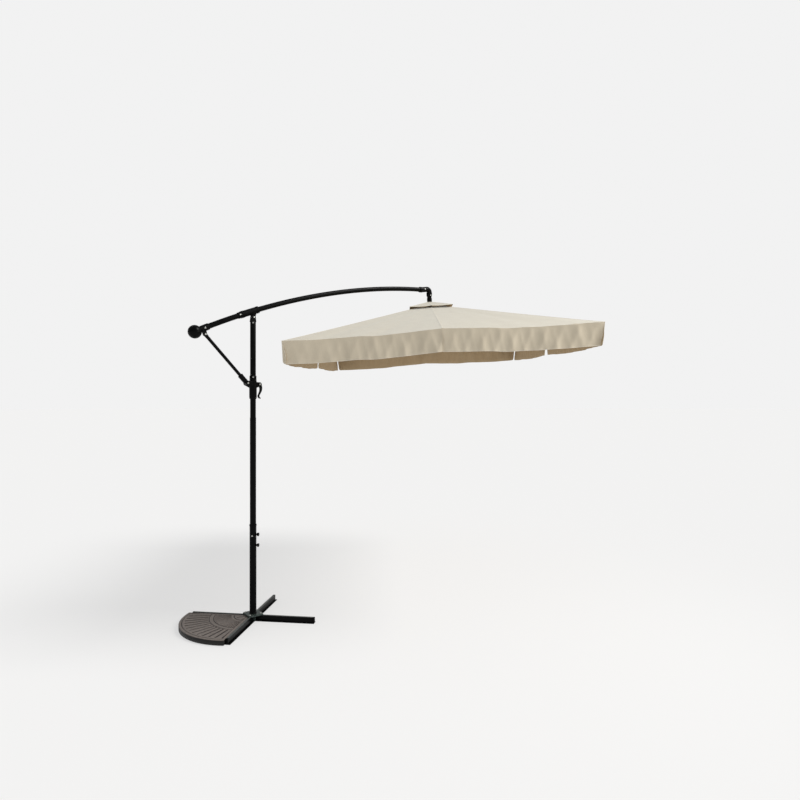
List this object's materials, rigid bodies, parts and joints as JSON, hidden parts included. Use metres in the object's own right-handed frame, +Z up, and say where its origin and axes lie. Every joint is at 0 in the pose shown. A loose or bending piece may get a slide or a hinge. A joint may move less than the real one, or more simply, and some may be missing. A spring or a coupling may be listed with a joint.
{
  "type": "cantilever parasol",
  "caption": "Cantilever parasol with a turning mast, curved arm, sliding strut, rectangular folding canopy with vent cap, and a crossed foot with a ballast slab.",
  "frame": {"origin": "on the floor at the axis of the mast, under the middle of the crossed legs", "axes": "+X points along the arm from the mast to the canopy, +Z is up, +Y completes a right-handed frame"},
  "size_m": [3.8836, 3.5948, 2.5548],
  "materials": {
    "frame_black": "satin",
    "plastic_black": "satin",
    "knob_gloss": "gloss",
    "zinc_steel": "satin",
    "base_green_grey": "satin",
    "slab_bronze": "matte",
    "rib_grey": "satin",
    "canvas_ecru": "matte"
  },
  "bodies": {
    "stand": {"cross_core": "base_green_grey", "cross_leg_1": "frame_black", "cross_leg_2": "frame_black", "cross_leg_3": "frame_black", "cross_leg_4": "frame_black", "leg_cap_1": "plastic_black", "leg_cap_2": "plastic_black", "leg_cap_3": "plastic_black", "leg_cap_4": "plastic_black", "foot_tube": "frame_black", "foot_collar": "plastic_black", "foot_bolt": "zinc_steel", "ballast_slab": "slab_bronze", "flange_bolt_1": "zinc_steel", "flange_bolt_2": "zinc_steel", "flange_bolt_3": "zinc_steel", "flange_bolt_4": "zinc_steel"},
    "screw_upper": {"thumb_screw_1": "plastic_black"},
    "screw_lower": {"thumb_screw_2": "plastic_black"},
    "mast": {"mast_lower": "frame_black", "mast_upper": "frame_black", "mast_head": "plastic_black", "head_pin": "zinc_steel"},
    "arm": {"arm_tube": "frame_black", "arm_sleeve": "plastic_black", "rear_bracket": "plastic_black", "ball_knob": "knob_gloss", "strut_pin": "zinc_steel", "bracket_bolt": "zinc_steel", "elbow": "plastic_black", "knuckle_pin": "zinc_steel", "elbow_bolt": "zinc_steel"},
    "strut": {"strut_eye": "plastic_black", "strut_tube": "frame_black", "strut_socket": "plastic_black"},
    "slider": {"slider_sleeve": "plastic_black", "slider_pin": "zinc_steel", "lever_pin": "zinc_steel"},
    "lever": {"lock_lever": "plastic_black"},
    "pole": {"hanging_pole": "plastic_black"},
    "hub": {"rib_hub": "plastic_black", "canopy": "canvas_ecru", "vent_cap": "canvas_ecru"},
    "runner": {"runner": "plastic_black"},
    "rib_body_1": {"rib_1": "rib_grey"},
    "rib_body_2": {"rib_2": "rib_grey"},
    "rib_body_3": {"rib_3": "rib_grey"},
    "rib_body_4": {"rib_4": "rib_grey"},
    "rib_body_5": {"rib_5": "rib_grey"},
    "rib_body_6": {"rib_6": "rib_grey"},
    "rib_body_7": {"rib_7": "rib_grey"},
    "rib_body_8": {"rib_8": "rib_grey"},
    "stretcher_body_1": {"stretcher_1": "rib_grey"},
    "stretcher_body_2": {"stretcher_2": "rib_grey"},
    "stretcher_body_3": {"stretcher_3": "rib_grey"},
    "stretcher_body_4": {"stretcher_4": "rib_grey"},
    "stretcher_body_5": {"stretcher_5": "rib_grey"},
    "stretcher_body_6": {"stretcher_6": "rib_grey"},
    "stretcher_body_7": {"stretcher_7": "rib_grey"},
    "stretcher_body_8": {"stretcher_8": "rib_grey"}
  },
  "joints": [
    {"name": "mast_turn", "type": "hinge", "parent": "stand", "child": "mast", "pos_m": [0, 0, 0.0513], "axis": [0, 0, 1], "continuous": true},
    {"name": "upper_screw_turn", "type": "hinge", "parent": "stand", "child": "screw_upper", "pos_m": [0, 0, 0.608], "axis": [0.7071, -0.7071, 0], "continuous": true},
    {"name": "lower_screw_turn", "type": "hinge", "parent": "stand", "child": "screw_lower", "pos_m": [0, 0, 0.532], "axis": [0.7071, -0.7071, 0], "continuous": true},
    {"name": "arm_tilt", "type": "hinge", "parent": "mast", "child": "arm", "pos_m": [0, 0, 2.145], "axis": [0, 1, 0], "range_deg": [0, 15]},
    {"name": "slider_slide", "type": "slide", "parent": "mast", "child": "slider", "axis": [0, 0, 1], "range_m": [0, 0.11955]},
    {"name": "strut_swing", "type": "hinge", "parent": "arm", "child": "strut", "pos_m": [-0.344, 0, 2.001], "axis": [0, 1, 0], "range_deg": [-19.73, 0]},
    {"name": "lever_swing", "type": "hinge", "parent": "slider", "child": "lever", "pos_m": [0.046, 0, 1.671], "axis": [0, -1, 0], "range_deg": [0, 90]},
    {"name": "canopy_tilt", "type": "hinge", "parent": "arm", "child": "pole", "pos_m": [1.637, 0, 2.483], "axis": [0, 1, 0], "range_deg": [-15, 8]},
    {"name": "canopy_spin", "type": "hinge", "parent": "pole", "child": "hub", "pos_m": [1.6461, 0, 2.35903], "axis": [-0.0732, 0, 0.9973], "range_deg": [0, 76]},
    {"name": "rib_1_fold", "type": "hinge", "parent": "hub", "child": "rib_body_1", "pos_m": [1.6775, -0.02468, 2.36134], "axis": [0.6154, 0.7869, 0.0452], "range_deg": [0, 66.66], "deforming": ["canopy", "vent_cap"]},
    {"name": "rib_2_fold", "type": "hinge", "parent": "hub", "child": "rib_body_2", "pos_m": [1.684, 0.0125, 2.36182], "axis": [-0.3117, 0.9499, -0.0229], "range_deg": [0, 74.99]},
    {"name": "rib_3_fold", "type": "hinge", "parent": "hub", "child": "rib_body_3", "pos_m": [1.67072, 0.03148, 2.36084], "axis": [-0.7848, 0.617, -0.0576], "range_deg": [0, 73.68]},
    {"name": "rib_4_fold", "type": "hinge", "parent": "hub", "child": "rib_body_4", "pos_m": [1.64917, 0.03988, 2.35926], "axis": [-0.9944, 0.0769, -0.073], "range_deg": [0, 74.99]},
    {"name": "rib_5_fold", "type": "hinge", "parent": "hub", "child": "rib_body_5", "pos_m": [1.61471, 0.02468, 2.35673], "axis": [-0.6154, -0.7869, -0.0452], "range_deg": [0, 66.68]},
    {"name": "rib_6_fold", "type": "hinge", "parent": "hub", "child": "rib_body_6", "pos_m": [1.60821, -0.0125, 2.35625], "axis": [0.3117, -0.9499, 0.0229], "range_deg": [0, 74.99]},
    {"name": "rib_7_fold", "type": "hinge", "parent": "hub", "child": "rib_body_7", "pos_m": [1.62149, -0.03148, 2.35723], "axis": [0.7848, -0.617, 0.0576], "range_deg": [0, 73.68]},
    {"name": "rib_8_fold", "type": "hinge", "parent": "hub", "child": "rib_body_8", "pos_m": [1.64304, -0.03988, 2.35881], "axis": [0.9944, -0.0769, 0.073], "range_deg": [0, 74.99]},
    {"name": "runner_slide", "type": "slide", "parent": "hub", "child": "runner", "axis": [0.0732, 0, -0.9973], "range_m": [0, 0.7796]},
    {"name": "stretcher_1_fold", "type": "hinge", "parent": "runner", "child": "stretcher_body_1", "pos_m": [1.69692, -0.01559, 2.14217], "axis": [-0.6154, -0.7869, -0.0452], "range_deg": [0, 78.58]},
    {"name": "stretcher_2_fold", "type": "hinge", "parent": "runner", "child": "stretcher_body_2", "pos_m": [1.6944, 0.0203, 2.14199], "axis": [0.3117, -0.9499, 0.0229], "range_deg": [0, 70.3]},
    {"name": "stretcher_3_fold", "type": "hinge", "parent": "runner", "child": "stretcher_body_3", "pos_m": [1.67776, 0.03479, 2.14077], "axis": [0.7848, -0.617, 0.0576], "range_deg": [0, 71.58]},
    {"name": "stretcher_4_fold", "type": "hinge", "parent": "runner", "child": "stretcher_body_4", "pos_m": [1.6559, 0.0376, 2.13916], "axis": [0.9944, -0.0769, 0.073], "range_deg": [0, 70.3]},
    {"name": "stretcher_5_fold", "type": "hinge", "parent": "runner", "child": "stretcher_body_5", "pos_m": [1.62752, 0.01559, 2.13708], "axis": [0.6154, 0.7869, 0.0452], "range_deg": [0, 78.58]},
    {"name": "stretcher_6_fold", "type": "hinge", "parent": "runner", "child": "stretcher_body_6", "pos_m": [1.63003, -0.0203, 2.13726], "axis": [-0.3117, 0.9499, -0.0229], "range_deg": [0, 70.3]},
    {"name": "stretcher_7_fold", "type": "hinge", "parent": "runner", "child": "stretcher_body_7", "pos_m": [1.64667, -0.03479, 2.13848], "axis": [-0.7848, 0.617, -0.0576], "range_deg": [0, 71.58]},
    {"name": "stretcher_8_fold", "type": "hinge", "parent": "runner", "child": "stretcher_body_8", "pos_m": [1.66853, -0.0376, 2.14009], "axis": [-0.9944, 0.0769, -0.073], "range_deg": [0, 70.3]}
  ],
  "couplings": [
    {"joint": "slider_slide", "follows": "arm_tilt", "m_per_rad": 0.45659},
    {"joint": "strut_swing", "follows": "arm_tilt", "ratio": -1.3144},
    {"joint": "rib_2_fold", "follows": "rib_1_fold", "ratio": 1.1247},
    {"joint": "rib_3_fold", "follows": "rib_1_fold", "ratio": 1.1049},
    {"joint": "rib_4_fold", "follows": "rib_1_fold", "ratio": 1.1247},
    {"joint": "rib_5_fold", "follows": "rib_1_fold", "ratio": 1},
    {"joint": "rib_6_fold", "follows": "rib_1_fold", "ratio": 1.1247},
    {"joint": "rib_7_fold", "follows": "rib_1_fold", "ratio": 1.1049},
    {"joint": "rib_8_fold", "follows": "rib_1_fold", "ratio": 1.1247},
    {"joint": "runner_slide", "follows": "rib_1_fold", "m_per_rad": 0.66997},
    {"joint": "stretcher_1_fold", "follows": "rib_1_fold", "ratio": 1.1785},
    {"joint": "stretcher_2_fold", "follows": "rib_1_fold", "ratio": 1.0543},
    {"joint": "stretcher_3_fold", "follows": "rib_1_fold", "ratio": 1.0734},
    {"joint": "stretcher_4_fold", "follows": "rib_1_fold", "ratio": 1.0543},
    {"joint": "stretcher_5_fold", "follows": "rib_1_fold", "ratio": 1.1785},
    {"joint": "stretcher_6_fold", "follows": "rib_1_fold", "ratio": 1.0543},
    {"joint": "stretcher_7_fold", "follows": "rib_1_fold", "ratio": 1.0734},
    {"joint": "stretcher_8_fold", "follows": "rib_1_fold", "ratio": 1.0543}
  ]
}
